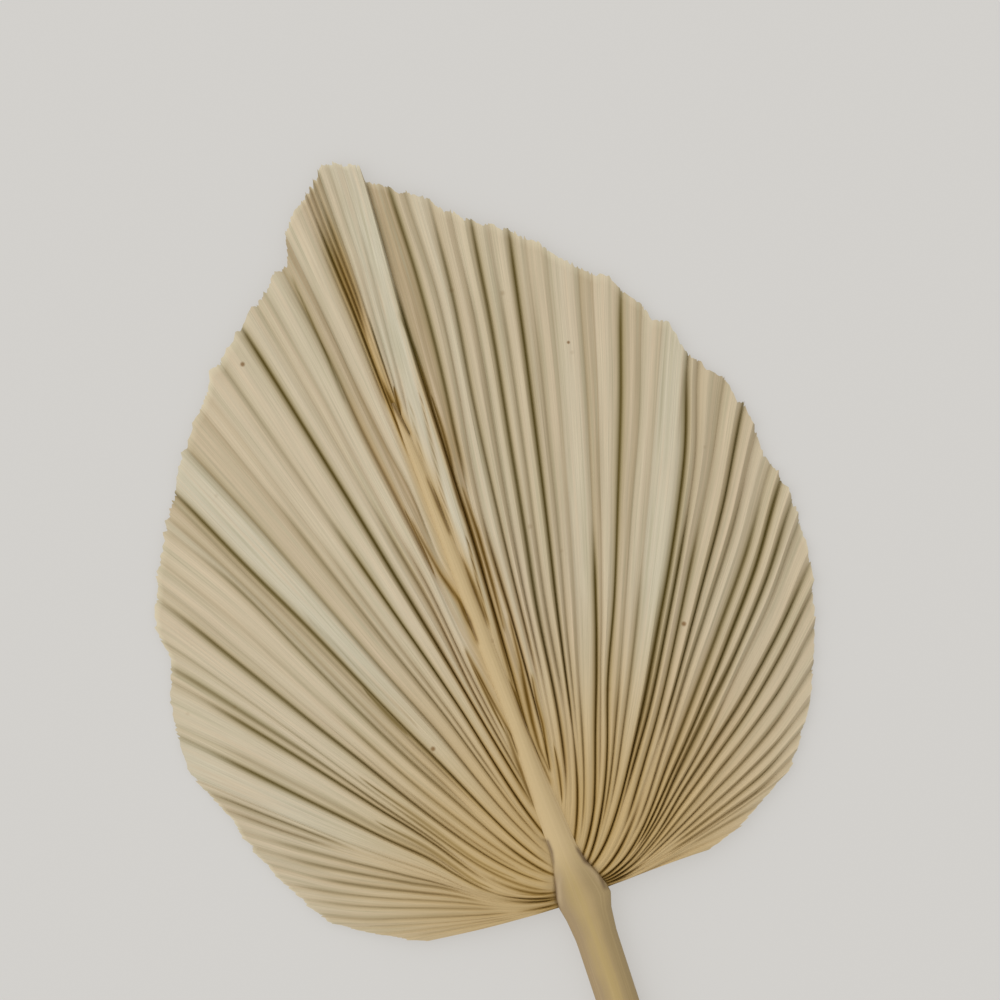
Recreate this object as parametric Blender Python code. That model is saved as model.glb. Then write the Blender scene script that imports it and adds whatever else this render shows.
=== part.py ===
"""A dried fan palm leaf that lies back side up: a pleated blade cut to a rounded fan, its midrib
and a length of its stalk, grown as one piece.

The leaf is drawn in millimetres in its own frame: the point where the blade leaves the stalk is
x = y = 0, y runs up the leaf to its tip and z is up from the surface that it lies on.
"""

import math

import bmesh
import bpy
import numpy as np

MM = 0.001
NAME = "palm_leaf"

# The blade's guide ribs, from the left lower edge round the tip to the right lower edge. Each one
# has its end on the cut margin, its root in the stalk or midrib, and its direction in degrees at
# the root and at the margin.
GUIDES = (
    ((-62, -7), (-9.0, -10.3), 180, 174),
    ((-79, 1), (-9.0, -9.3), 182, 168),
    ((-95, 11), (-9.0, -8.2), 184, 162),
    ((-108, 32), (-8.9, -6.6), 185, 154),
    ((-116, 52), (-8.8, -5.7), 185, 147),
    ((-121.5, 67), (-8.7, -5.1), 184, 143),
    ((-128, 82), (-8.6, -4.7), 183, 140),
    ((-127.5, 104), (-8.5, -4.2), 180, 136.5),
    ((-121.5, 124), (-8.3, -3.4), 172, 132.5),
    ((-123, 138), (-7.9, -1.8), 165, 129.5),
    ((-116, 157), (-7.3, 2.2), 154, 125.5),
    ((-100, 185), (-6.5, 12), 135, 118),
    ((-85, 207), (-6.4, 18.5), 121, 112.5),
    ((-67, 227), (-6.4, 26), 112, 107.5),
    ((-49, 242), (-6.5, 46), 110, 103),
    ((-32, 254), (-7.0, 76), 105, 99),
    ((-29, 265), (-7.4, 95), 102, 97),
    ((-20, 274), (-8.0, 127), 98, 94.5),
    ((-8, 286), (-9.0, 184), 92, 91),
    ((4, 281), (-8.2, 168), 84, 89),
    ((6, 274), (-5.2, 120), 82, 88),
    ((13, 270), (-3.6, 90), 81, 86),
    ((26, 261), (-1.2, 54), 78, 83.5),
    ((38, 249), (-0.2, 33), 72, 81),
    ((51, 241), (0.9, 20), 64, 78),
    ((68, 223), (1.7, 13.5), 55, 74),
    ((85, 205), (2.8, 7.5), 47, 69.5),
    ((99, 186), (3.4, 4.5), 39, 66),
    ((102, 173), (3.9, 2.8), 33, 63.5),
    ((110, 165), (4.4, 1.2), 29, 60.5),
    ((116, 152), (5.0, -0.2), 22, 56),
    ((118, 130), (5.7, -2.2), 15, 52),
    ((122.5, 105), (6.4, -3.9), 8, 47.5),
    ((121, 82), (6.6, -4.6), 1, 43),
    ((114, 57), (6.9, -5.3), -5, 37),
    ((104, 33), (7.3, -6.1), -7, 28.5),
    ((89, 12), (7.7, -7.0), -6, 19),
    ((64, -3), (8.1, -8.0), -3, 7),
    ((50, -7.5), (8.4, -8.6), 1, -1.5),
)
ROOT_REACH, MARGIN_REACH = 0.20, 0.44  # Bezier handles, as shares of a rib's length

# The pleats in the same order. Each has its width along the margin, where its crease stands in
# that width, the crease's height over the grooves beside it, and how far past the outline the
# scissors left the crease's end.
PLEATS = (
    (10, 0.6, 1.6, 1.5), (10.5, 0.6, 1.6, -0.5), (10.5, 0.6, 1.6, 1.2), (11, 0.6, 1.8, 0.3),
    (9.5, 0.6, 1.8, 1.0), (9, 0.6, 1.8, 0.3), (10, 0.65, 1.8, 0.3), (9, 0.65, 2.0, 1.4),
    (8, 0.6, 2.0, 0.9), (10.5, 0.6, 2.0, -1.5), (8, 0.5, 2.4, 0.2), (6, 0.8, 1.0, 1.5),
    (18.5, 0.85, 2.6, 1.0), (4.5, 0.5, 0.9, 1.0), (16.5, 0.75, 2.2, 1.0), (5.5, 0.45, 1.6, 0.4),
    (11, 0.5, 0.5, -1.0), (16.5, 0.85, 2.6, 1.2), (5.5, 0.5, 1.2, 0.3), (9, 0.5, 0.6, 0.6),
    (12.5, 0.75, 2.0, 1.4), (4, 0.5, 1.3, 1.9), (6.5, 0.5, 1.4, 0.6), (3.5, 0.5, 1.8, -1.0),
    (17.5, 0.82, 2.6, 1.5), (16, 0.75, 2.0, 0.5), (6.5, 0.5, 1.0, 0.5), (12.5, 0.6, 2.2, 3.0),
    (15.5, 0.8, 2.8, 0.8), (10.5, 0.6, 2.0, 1.2), (6, 0.5, 1.3, 0.2), (10.5, 0.7, 2.2, 2.0),
    (14, 0.55, 1.8, -1.0), (14.5, 0.6, 1.8, 1.4), (3, 0.5, 1.2, -0.8), (3, 0.5, 1.4, -1.6),
    (3, 0.5, 1.4, -2.2), (10, 0.5, 1.8, -1.5), (9, 0.5, 0.5, 1.2), (8, 0.85, 2.8, 2.0),
    (9, 0.5, 2.0, 0.0), (6.5, 0.5, 1.8, -1.5), (9.5, 0.6, 2.0, -0.4), (9, 0.65, 2.0, -2.0),
    (8.5, 0.65, 2.2, -0.8), (7, 0.6, 1.4, -1.3), (8, 0.65, 2.2, -1.1), (7.5, 0.6, 1.6, -0.4),
    (9, 0.65, 1.8, 1.3), (12.5, 0.7, 2.2, -0.2), (8, 0.6, 2.2, 0.4), (11.5, 0.45, 2.4, 3.0),
    (10, 0.6, 2.0, 0.5), (9.5, 0.5, 1.8, -3.0), (16.5, 0.8, 2.6, -0.3), (4.5, 0.5, 1.8, 0.0),
    (12.5, 0.4, 2.2, -1.5), (11.5, 0.7, 2.4, -3.0), (12.5, 0.7, 2.4, 0.0), (13, 0.5, 2.0, -1.5),
    (7.5, 0.6, 2.0, 1.0), (9, 0.65, 2.2, 1.7), (8.5, 0.6, 2.0, 0.3), (16, 0.75, 2.4, 0.7),
    (11, 0.7, 2.2, 1.0), (14, 0.75, 2.4, 1.0), (15.5, 0.75, 2.2, 0.7), (13, 0.7, 2.2, 0.9),
    (11.5, 0.7, 2.0, 1.0), (10.5, 0.65, 2.0, 1.8), (10.5, 0.65, 1.8, 1.2), (12, 0.6, 1.6, 0.5),
    (12, 0.6, 1.6, 0.0), (13, 0.6, 1.6, 0.0),
)
BLADE_THICKNESS = 0.8
ROWS = 13
ROW_CROWDING = 1.35  # over 1 puts more of the rows near the roots, where the ribs bend
ROOT_PLEAT, PLEAT_GROWTH = 0.2, 2.2  # the pleats' height at the roots, and how soon it is full

# Height of the leaf's middle over the surface, along y, and how far its sides come down.
CROWN = ((-172, 4.7), (-100, 5.2), (-50, 6.2), (-15, 7.8), (60, 10.6), (140, 10.6), (220, 7.6), (290, 4.2))
DROOP, DROOP_REACH, DROOP_POWER = 8.9, 125.0, 1.7

# Stalk and midrib: y, left edge, right edge, height above the crown and depth under it.
STALK = (
    (-172.0, -10.0, 4.3, 4.1, 4.1),
    (-171.4, -10.5, 4.8, 4.6, 4.7),
    (-140, -10.2, 5.6, 4.6, 4.7),
    (-100, -9.4, 6.8, 4.5, 4.6),
    (-60, -8.5, 7.2, 4.3, 4.4),
    (-25, -8.6, 7.4, 4.2, 4.2),
    (-11, -10.1, 9.6, 3.8, 4.0),
    (-4, -10.1, 8.2, 3.5, 3.8),
    (3, -9.3, 6.3, 3.3, 3.6),
    (10, -8.4, 4.2, 3.1, 3.3),
    (20, -7.7, 1.9, 2.8, 2.9),
    (40, -7.6, 0.3, 2.5, 2.3),
    (60, -7.9, -0.8, 2.2, 1.9),
    (90, -8.5, -2.4, 1.9, 1.6),
    (125, -9.4, -4.2, 1.6, 1.3),
    (160, -10.2, -6.6, 1.3, 1.1),
    (192, -10.6, -7.8, 0.9, 0.9),
)
STALK_SIDES = 16

BLADE_COLOUR = (0.56, 0.48, 0.34, 1.0)
ROUGHNESS = 0.62


def crown(y):
    """Height of the leaf's middle line."""
    places, heights = zip(*CROWN)
    return np.interp(y, places, heights)


def blade_height(x, y):
    """Height of the blade's middle surface without its pleats."""
    return crown(y) - DROOP * (np.abs(x) / DROOP_REACH) ** DROOP_POWER


def pleat_lines():
    """Place along the margin, height and cut of each groove and crease, groove first."""
    lines = [(0.0, 0.0, 0.0)]
    for width, crease, height, cut in PLEATS:
        start = lines[-1][0]
        lines += [(start + crease * width, height, cut), (start + width, 0.0, 0.0)]
    return lines


def rib_point(place, share, cut):
    """Point of the blade at a place along the margin and a share of the way from root to margin."""
    margin, root, root_angle, margin_angle = (np.array(column, float) for column in zip(*GUIDES))
    steps = np.hypot(*np.diff(margin, axis=0).T)
    along = np.concatenate(([0.0], np.cumsum(steps)))

    def pick(column):
        return np.interp(place, along, column)

    start = np.array([pick(root[:, 0]), pick(root[:, 1])])
    end = np.array([pick(margin[:, 0]), pick(margin[:, 1])])
    length = math.hypot(*(end - start))
    angles = [math.radians(pick(root_angle)), math.radians(pick(margin_angle))]
    leave, arrive = (np.array([math.cos(angle), math.sin(angle)]) for angle in angles)
    end += cut * arrive
    first = start + ROOT_REACH * length * leave
    second = end - MARGIN_REACH * length * arrive
    rest = 1 - share
    return rest**3 * start + 3 * rest**2 * share * first + 3 * rest * share**2 * second + share**3 * end


def make_blade():
    """The pleated sheet, one column of points to each groove and crease."""
    lines = pleat_lines()
    columns = len(lines)
    level = sum(height for _, height, _ in lines) / columns
    bm = bmesh.new()
    bmesh.ops.create_grid(bm, x_segments=columns - 1, y_segments=ROWS - 1, size=1.0)
    for vert in bm.verts:
        column = round((vert.co.x + 1) / 2 * (columns - 1))
        share = ((vert.co.y + 1) / 2) ** ROW_CROWDING
        place, height, cut = lines[column]
        x, y = rib_point(place, share, cut)
        rise = min(1.0, ROOT_PLEAT + PLEAT_GROWTH * share) * (height - level)
        vert.co = (x * MM, y * MM, (blade_height(x, y) + rise - BLADE_THICKNESS / 2) * MM)
    sheet = bmesh.ops.extrude_face_region(bm, geom=bm.faces[:])
    upper = [item for item in sheet["geom"] if isinstance(item, bmesh.types.BMVert)]
    bmesh.ops.translate(bm, verts=upper, vec=(0, 0, BLADE_THICKNESS * MM))
    bmesh.ops.recalc_face_normals(bm, faces=bm.faces[:])
    mesh = bpy.data.meshes.new(NAME)
    bm.to_mesh(mesh)
    bm.free()
    return bpy.data.objects.new(NAME, mesh)


def make_stalk():
    """The stalk and the midrib that it runs on into, as a loft through oval sections."""
    bm = bmesh.new()
    rings = []
    for y, left, right, above, below in STALK:
        ring = bmesh.ops.create_circle(bm, segments=STALK_SIDES, radius=1.0)["verts"]
        for vert in ring:
            x = (left + right) / 2 + (right - left) / 2 * vert.co.x
            z = crown(y) + vert.co.y * (above if vert.co.y > 0 else below)
            vert.co = (x * MM, y * MM, z * MM)
        rings.append({edge for vert in ring for edge in vert.link_edges})
    for near, far in zip(rings, rings[1:]):
        bmesh.ops.bridge_loops(bm, edges=list(near | far))
    for end in (rings[0], rings[-1]):
        bmesh.ops.contextual_create(bm, geom=list(end))
    bmesh.ops.recalc_face_normals(bm, faces=bm.faces[:])
    mesh = bpy.data.meshes.new("stalk")
    bm.to_mesh(mesh)
    bm.free()
    return bpy.data.objects.new("stalk", mesh)


def make_material():
    material = bpy.data.materials.new("dried_leaf")
    material.use_nodes = True
    shader = material.node_tree.nodes["Principled BSDF"]
    shader.inputs["Base Color"].default_value = BLADE_COLOUR
    shader.inputs["Roughness"].default_value = ROUGHNESS
    shader.inputs["Metallic"].default_value = 0.0
    return material


def bounds(leaf):
    """Lowest and highest corner of the finished leaf, in metres."""
    bpy.context.view_layer.update()
    evaluated = leaf.evaluated_get(bpy.context.evaluated_depsgraph_get())
    mesh = evaluated.to_mesh()
    points = np.array([evaluated.matrix_world @ vert.co for vert in mesh.vertices])
    evaluated.to_mesh_clear()
    return points.min(axis=0), points.max(axis=0)


def build():
    for old in list(bpy.data.objects):
        bpy.data.objects.remove(old)
    leaf_parts = bpy.data.collections.new("fan_palm_leaf")
    helpers = bpy.data.collections.new("helpers")
    for collection in (leaf_parts, helpers):
        bpy.context.scene.collection.children.link(collection)

    leaf = make_blade()
    stalk = make_stalk()
    base = bpy.data.objects.new("leaf_base", None)
    leaf_parts.objects.link(leaf)
    leaf_parts.objects.link(base)
    helpers.objects.link(stalk)
    leaf.data.materials.append(make_material())
    leaf.parent = base
    stalk.parent = base
    stalk.hide_render = True
    stalk.display_type = "WIRE"
    grown_on = leaf.modifiers.new("grown_on", "BOOLEAN")
    grown_on.operation = "UNION"
    grown_on.solver = "EXACT"
    grown_on.object = stalk

    low, high = bounds(leaf)
    base.location = (-(low[0] + high[0]) / 2, -(low[1] + high[1]) / 2, -low[2])


build()
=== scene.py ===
"""A dried fan palm leaf on a pale floor: a pleated blade cut to a rounded fan, back side up, with
its midrib, the dried seams at its root and a length of stalk.

The leaf is drawn in millimetres in its own frame, where x = y = 0 is the point where the blade
leaves the stalk, y runs up the leaf to its tip and z is up. to_row() takes it into the CAD's frame.
"""

import math

import bmesh
import bpy
import numpy as np
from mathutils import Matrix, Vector


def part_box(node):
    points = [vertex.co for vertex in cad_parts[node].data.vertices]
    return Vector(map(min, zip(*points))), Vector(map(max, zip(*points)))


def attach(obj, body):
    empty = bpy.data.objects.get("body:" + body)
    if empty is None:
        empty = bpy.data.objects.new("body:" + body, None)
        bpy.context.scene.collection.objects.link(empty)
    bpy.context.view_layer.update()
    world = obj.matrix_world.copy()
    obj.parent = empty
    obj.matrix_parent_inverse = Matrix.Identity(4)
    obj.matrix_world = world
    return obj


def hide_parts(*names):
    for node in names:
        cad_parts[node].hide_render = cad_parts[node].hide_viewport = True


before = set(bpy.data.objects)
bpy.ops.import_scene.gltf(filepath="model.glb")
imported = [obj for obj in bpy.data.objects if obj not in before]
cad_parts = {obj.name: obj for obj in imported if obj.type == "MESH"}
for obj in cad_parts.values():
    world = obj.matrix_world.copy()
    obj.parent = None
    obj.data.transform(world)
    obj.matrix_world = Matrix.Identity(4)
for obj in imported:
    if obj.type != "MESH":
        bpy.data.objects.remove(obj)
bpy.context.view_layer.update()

MM = 0.001
NODE, BODY, SLOT = "palm_leaf", "root", "dried_leaf"

# ---------- The leaf's shape, which follows the CAD's ----------

# Guide ribs from the left lower edge round the tip to the right lower edge: the end on the cut
# margin, the root in the stalk or midrib, and the direction in degrees at root and margin.
GUIDES = (
    ((-62, -7), (-9, -10.3), 180, 174),
    ((-79, 1), (-9, -9.3), 182, 168),
    ((-95, 11), (-9, -8.2), 184, 162),
    ((-108, 32), (-8.9, -6.6), 185, 154),
    ((-116, 52), (-8.8, -5.7), 185, 147),
    ((-121.5, 67), (-8.7, -5.1), 184, 143),
    ((-128, 82), (-8.6, -4.7), 183, 140),
    ((-127.5, 104), (-8.5, -4.2), 180, 136.5),
    ((-121.5, 124), (-8.3, -3.4), 172, 132.5),
    ((-123, 138), (-7.9, -1.8), 165, 129.5),
    ((-116, 157), (-7.3, 2.2), 154, 125.5),
    ((-100, 185), (-6.5, 12), 135, 118),
    ((-85, 207), (-6.4, 18.5), 121, 112.5),
    ((-67, 227), (-6.4, 26), 112, 107.5),
    ((-49, 242), (-6.5, 46), 110, 103),
    ((-32, 254), (-7, 76), 105, 99),
    ((-29, 265), (-7.4, 95), 102, 97),
    ((-20, 274), (-8, 127), 98, 94.5),
    ((-8, 286), (-9, 184), 92, 91),
    ((4, 281), (-8.2, 168), 84, 89),
    ((6, 274), (-5.2, 120), 82, 88),
    ((13, 270), (-3.6, 90), 81, 86),
    ((26, 261), (-1.2, 54), 78, 83.5),
    ((38, 249), (-0.2, 33), 72, 81),
    ((51, 241), (0.9, 20), 64, 78),
    ((68, 223), (1.7, 13.5), 55, 74),
    ((85, 205), (2.8, 7.5), 47, 69.5),
    ((99, 186), (3.4, 4.5), 39, 66),
    ((102, 173), (3.9, 2.8), 33, 63.5),
    ((110, 165), (4.4, 1.2), 29, 60.5),
    ((116, 152), (5, -0.2), 22, 56),
    ((118, 130), (5.7, -2.2), 15, 52),
    ((122.5, 105), (6.4, -3.9), 8, 47.5),
    ((121, 82), (6.6, -4.6), 1, 43),
    ((114, 57), (6.9, -5.3), -5, 37),
    ((104, 33), (7.3, -6.1), -7, 28.5),
    ((89, 12), (7.7, -7), -6, 19),
    ((64, -3), (8.1, -8), -3, 7),
    ((50, -7.5), (8.4, -8.6), 1, -1.5),
)
ROOT_REACH, MARGIN_REACH = 0.20, 0.44

# The pleats in the same order: width along the margin, where the crease stands in that width,
# the crease's height over the grooves, how far past the outline its end was cut, and the
# paleness of its face (under 0 is tan). Then the groove at its start: how dark its painted shade
# is, the shares of the way from root to margin where it begins and where its darkest stretch
# ends, and how far it sweeps sideways towards its root, with the share at which the sweep begins.
PLEATS = (
    (10, 0.6, 0.9, 1.5, -0.1, 0, 0.4, 1, 0, 0.4),
    (10.5, 0.6, 0.9, -0.5, -0.1, 0.1, 0.4, 0.9, -5, 0.4),
    (10.5, 0.6, 1, 1.2, 0, 0.15, 0.4, 0.9, -9, 0.4),
    (11, 0.6, 1, 0.3, 0.1, 0.15, 0.4, 0.9, -14, 0.4),
    (9.5, 0.6, 1.1, 1, 0.1, 0.3, 0.32, 1, -19, 0.4),
    (9, 0.6, 1.1, 0.3, 0, 0.3, 0.36, 0.95, -23, 0.4),
    (10, 0.65, 1.2, 0.3, 0, 0.35, 0.34, 0.95, -27, 0.4),
    (9, 0.65, 1.3, 1.4, 0, 0.45, 0.36, 0.85, -32, 0.4),
    (8, 0.6, 1.4, 0.9, 0, 0.45, 0.38, 0.9, -36, 0.4),
    (10.5, 0.6, 1.5, -1.5, 0.05, 0.4, 0.38, 0.9, -40, 0.41),
    (8, 0.5, 1.8, 0.2, -0.05, 0.4, 0.74, 0.97, -44, 0.41),
    (6, 0.8, 0.8, 1.5, 0.1, 0.5, 0.68, 0.97, -48, 0.42),
    (18.5, 0.85, 2.2, 1, 0.35, 0.1, 0.35, 1, -50, 0.42),
    (4.5, 0.5, 0.9, 1, 0.1, 0.85, 0.25, 0.9, -60, 0.42),
    (16.5, 0.75, 1.9, 1, 0.15, 0.3, 0.3, 0.9, -52, 0.41),
    (5.5, 0.45, 1.6, 0.4, 0, 0.85, 0.28, 0.9, -30, 0.4),
    (11, 0.5, 0.6, -1, 0.1, 0.6, 0.34, 1, -26, 0.38),
    (16.5, 0.85, 2.4, 1.2, 0.1, 0.75, 0.04, 0.46, -14, 0.36),
    (5.5, 0.5, 1.2, 0.3, 0, 0.8, 0.05, 0.95, -10, 0.35),
    (9, 0.5, 0.7, 0.6, 0.05, 0.45, 0.14, 0.4, -11, 0.35),
    (12.5, 0.75, 1.9, 1.4, 0, 0.55, 0.04, 0.6, -13, 0.36),
    (4, 0.5, 1.2, 1.9, 0.15, 0.55, 0.04, 0.9, -22, 0.4),
    (6.5, 0.5, 1.2, 0.6, -0.2, 0.3, 0.3, 1, -23, 0.4),
    (3.5, 0.5, 1.4, -1, -0.3, 0.25, 0.3, 1, -24, 0.4),
    (17.5, 0.82, 2.4, 1.5, 0.45, 0.9, 0.03, 1, -25, 0.4),
    (16, 0.75, 1.9, 0.5, -0.2, 0.45, 0.04, 1, -28, 0.4),
    (6.5, 0.5, 0.9, 0.5, 0, 0.45, 0.04, 0.8, -30, 0.38),
    (12.5, 0.6, 1.9, 3, 0.1, 0.3, 0.18, 0.7, -32, 0.36),
    (15.5, 0.8, 2.6, 0.8, 0.1, 1, 0.05, 0.68, -34, 0.34),
    (10.5, 0.6, 2, 1.2, 0.15, 1, 0.04, 1, -16, 0.35),
    (6, 0.5, 1.1, 0.2, 0, 0.55, 0.04, 0.6, -19, 0.36),
    (10.5, 0.7, 2, 2, 0.2, 0.3, 0.1, 0.5, -15, 0.35),
    (14, 0.55, 1.5, -1, -0.35, 0.6, 0.38, 0.95, 0, 0.4),
    (14.5, 0.6, 1.6, 1.4, 0.15, 0.25, 0.3, 0.9, 8, 0.6),
    (3, 0.5, 1.2, -0.8, -0.2, 0.4, 0.5, 0.9, 3, 0.5),
    (3, 0.5, 1.4, -1.6, -0.5, 1, 0.34, 0.9, 0, 0.5),
    (3, 0.5, 1.4, -2.2, -0.6, 0.85, 0.62, 0.85, 0, 0.5),
    (4, 0.5, 1.3, -2, -0.5, 0.6, 0.62, 0.9, 2, 0.5),
    (5.5, 0.5, 0.7, -0.3, 0.3, 0.6, 0.1, 0.5, 6, 0.6),
    (5, 0.5, 0.5, 1, 0.5, 0.12, 0.2, 1, 6, 0.6),
    (12.5, 0.85, 2.8, 1.3, 0.6, 0.15, 0.2, 0.8, 8, 0.7),
    (9, 0.5, 1.8, 0, -0.45, 1, 0.06, 0.75, 24, 0.8),
    (6.5, 0.5, 1.6, -1.5, 0, 0.8, 0.5, 1, 30, 0.62),
    (9.5, 0.6, 1.7, -0.4, 0.3, 0.85, 0.12, 0.42, 34, 0.6),
    (9, 0.65, 1.8, -2, 0, 0.65, 0.28, 0.95, 27, 0.8),
    (8.5, 0.65, 1.9, -0.8, 0.15, 0.3, 0.3, 0.9, 22, 0.72),
    (7, 0.6, 1.3, -1.3, 0.1, 0.85, 0.12, 1, 18, 0.75),
    (8, 0.65, 1.9, -1.1, 0.1, 0.35, 0.3, 0.9, 24, 0.6),
    (7.5, 0.6, 1.5, -0.4, 0, 0.95, 0.25, 1, 34, 0.48),
    (9, 0.65, 1.7, 1.3, 0, 0.3, 0.3, 0.9, 33, 0.46),
    (13.5, 0.75, 2, -0.2, 0.3, 0.5, 0.06, 0.3, 30, 0.4),
    (6.5, 0.5, 1.1, 0.4, -0.2, 1, 0.05, 0.6, 38, 0.45),
    (12, 0.45, 2.1, 3, 0.15, 0.15, 0.2, 0.8, 38, 0.45),
    (10, 0.6, 1.8, 0.5, -0.1, 0.95, 0.04, 1, 42, 0.38),
    (9.5, 0.5, 1.6, -3, 0.2, 0.6, 0.13, 0.4, 37, 0.36),
    (16.5, 0.8, 2.4, -0.3, 0.5, 0.5, 0.2, 0.6, 32, 0.36),
    (4.5, 0.5, 1.6, 0, 0.1, 1, 0.03, 0.97, 22, 0.36),
    (12.5, 0.4, 2, -1.5, -0.05, 0.95, 0.25, 0.75, 26, 0.37),
    (11.5, 0.7, 2.1, -3, 0, 0.85, 0.2, 0.75, 36, 0.38),
    (12.5, 0.7, 2.1, 0, -0.05, 0.85, 0.42, 1, 40, 0.39),
    (13, 0.5, 1.8, -1.5, 0.1, 0.45, 0.22, 0.9, 44, 0.4),
    (7.5, 0.6, 1.8, 1, 0, 0.8, 0.04, 0.9, 48, 0.41),
    (9, 0.65, 2, 1.7, 0.05, 0.95, 0.2, 1, 49, 0.42),
    (8.5, 0.6, 1.8, 0.3, 0.1, 0.82, 0.2, 0.97, 50, 0.42),
    (16, 0.75, 2.1, 0.7, 0, 0.75, 0.04, 0.6, 51, 0.42),
    (11, 0.7, 1.9, 1, -0.1, 0.8, 0.2, 0.95, 52, 0.42),
    (14, 0.75, 1.9, 1, -0.05, 0.75, 0.06, 0.95, 51, 0.42),
    (15.5, 0.75, 1.8, 0.7, 0, 0.6, 0.25, 0.9, 46, 0.42),
    (13, 0.7, 1.7, 0.9, 0, 0.5, 0.26, 0.9, 40, 0.42),
    (11.5, 0.7, 1.5, 1, 0.05, 0.45, 0.42, 0.9, 33, 0.42),
    (10.5, 0.65, 1.4, 1.8, 0.05, 0.55, 0.45, 0.9, 27, 0.42),
    (10.5, 0.65, 1.2, 1.2, 0.1, 0.4, 0.45, 0.9, 21, 0.42),
    (12, 0.6, 1.1, 0.5, 0.15, 0.2, 0.45, 0.9, 16, 0.42),
    (12, 0.6, 1, 0, 0.1, 0.3, 0.66, 0.92, 11, 0.42),
    (13, 0.6, 1, 0, 0, 0.1, 0.45, 0.9, 6, 0.42),
)
LAST_SWEEP = (0, 0.42)
ROOT_PLEAT, PLEAT_GROWTH = 0.5, 2.2  # the folds' height at the root, and its growth with the share
MARGIN_PLEAT = 0.5  # how much of the folds' height is left at the margin, where relief is usual
USUAL_RELIEF, MARGIN_GAIN, MARGIN_LIMITS = 0.8, 0.9, (0.4, 1.0)

# Short sharp slits between the ribs: the place along the margin and share of the upper end and
# of the lower end, the sideways bow, half the width in millimetres and the darkness of the
# painted shade in them.
SLITS = (
    (140, 0.55, 134, 0.24, 3, 0.6, 0.7),
    (172, 0.58, 172, 0.14, 1.5, 0.5, 0.7),
    (224, 0.56, 223.5, 0.44, 0, 0.9, 0.8),
    (229, 0.74, 234, 0.42, 0, 0.6, 0.22),
    (322, 0.52, 321, 0.36, 0, 0.4, 0.8),
    (314.5, 0.22, 306, 0.06, 1, 0.4, 0.9),
    (335.5, 0.15, 333, 0.04, 0, 0.4, 0.8),
    (368.5, 0.24, 366, 0.05, 0, 0.6, 1),
    (387.5, 0.6, 390.5, 0.42, 0.5, 0.6, 0.9),
    (388.5, 0.46, 391, 0.34, 0, 0.5, 0.8),
    (378.5, 0.32, 379, 0.08, 0, 0.25, 0.35),
    (383, 0.54, 383, 0.05, 0, 0.3, 0.5),
    (381, 0.12, 381, 0.02, 0, 0.35, 0.8),
    (387, 0.11, 387, 0.02, 0, 0.35, 0.8),
    (390.5, 0.3, 393, 0.06, -0.5, 0.3, 0.8),
    (404, 0.08, 404, 0.01, 0, 0.3, 0.9),
    (431, 0.15, 438.5, 0.04, 0.5, 0.35, 0.8),
)

# Longer clefts, most of them beside the midrib: x, y, half width and darkness of the painted
# shade in them.
CLEFTS = (
    ((-12.2, 203, 0.4, 0.5), (-10.8, 192, 0.8, 1), (-8.2, 178, 0.4, 0.7)),
    ((-7.2, 160, 0.3, 0.5), (-6.1, 149, 0.8, 0.9), (-5.4, 137, 0.4, 0.7)),
    ((2.6, 160, 0.4, 0.7), (2.7, 142, 0.6, 1), (2.3, 124, 0.6, 1), (1.2, 108, 0.5, 1),
     (0.2, 92, 0.5, 0.9), (-0.6, 77, 0.4, 0.7)),
    ((4.6, 152, 0.3, 0.5), (4.8, 134, 0.5, 1), (3.9, 114, 0.5, 0.9), (2.7, 97, 0.3, 0.6)),
    ((-3.7, 126, 0.3, 0.6), (-3.2, 115, 0.8, 0.9), (-2.7, 101, 0.5, 0.7)),
    ((5.9, 99, 0.4, 0.7), (4.6, 82, 0.5, 0.9), (3, 70, 0.7, 1), (1.9, 60, 0.6, 1),
     (1.3, 50, 0.4, 0.8), (2.1, 41, 0.3, 0.5)),
    ((7.1, 76, 0.3, 0.7), (5.8, 67, 0.4, 0.9), (5.3, 58, 0.4, 1), (3.6, 48, 0.4, 1),
     (2.6, 41, 0.3, 0.7)),
    ((-17.6, 146, 0.3, 0.5), (-13.6, 124, 0.5, 0.9), (-9.9, 112, 0.5, 1), (-8.6, 104, 0.6, 1),
     (-8.3, 96, 0.4, 0.8)),
    ((-13.4, 93, 0.3, 0.6), (-11.6, 82, 0.45, 1), (-10.3, 74, 0.4, 0.9), (-8.8, 66, 0.3, 0.8),
     (-7.4, 59, 0.3, 0.8), (-7.1, 50, 0.3, 0.6)),
    ((-1.4, 78, 0.3, 0.6), (-0.9, 71, 0.6, 1), (-1, 65, 0.6, 1), (-1, 58, 0.35, 0.8),
     (0, 47, 0.3, 0.7), (1.2, 36, 0.3, 0.5)),
    ((-8.6, 60, 0.4, 0.5), (-8.1, 44, 0.6, 0.8), (-7.7, 30, 0.4, 0.6)),
    ((-31.8, 247, 0.3, 0.5), (-30.2, 232, 0.4, 0.8), (-28.4, 215, 0.4, 0.9), (-27.4, 198, 0.3, 0.4)),
    ((2.6, 222, 0.3, 0.6), (3.8, 208, 0.6, 1), (3.7, 192, 0.6, 1), (3, 180, 0.4, 0.7)),
)

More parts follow.
